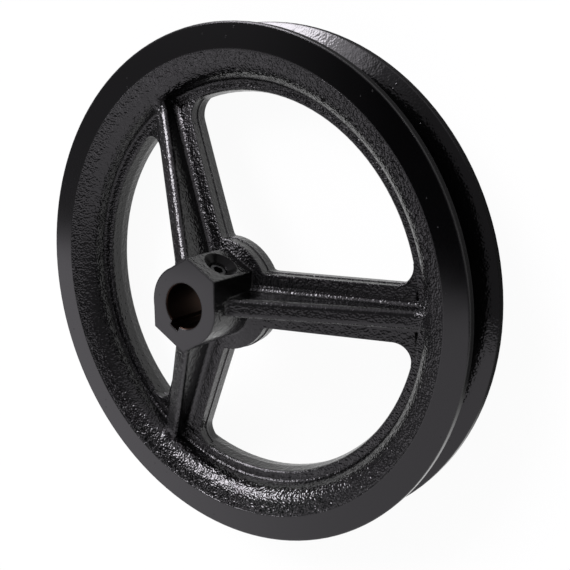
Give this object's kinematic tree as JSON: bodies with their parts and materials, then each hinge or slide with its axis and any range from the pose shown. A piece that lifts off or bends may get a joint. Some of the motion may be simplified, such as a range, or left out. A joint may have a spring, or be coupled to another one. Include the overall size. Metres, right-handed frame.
{
  "type": "v-belt pulley",
  "caption": "Black cast-iron V-belt pulley with a belt groove round its rim, dished and ribbed spokes, and a keyed hub that a set screw locks on a shaft.",
  "frame": {"origin": "on the bore's axis, at the back face of the rim, on which the pulley lies", "axes": "+Z along the bore towards the long side of the hub, +X along the middle of a spoke"},
  "size_m": [0.2286, 0.2286, 0.0599],
  "materials": {
    "painted_iron": "gloss black paint over sand-cast and turned faces",
    "black_steel": "black oxide"
  },
  "bodies": {
    "pulley": {"pulley_casting": "painted_iron"},
    "screw": {"set_screw": "black_steel"}
  },
  "joints": [
    {"name": "set_screw_travel", "type": "slide", "parent": "pulley", "child": "screw", "axis": [0.5, 0.866, 0], "range_m": [-0.00045, 0.005]}
  ]
}
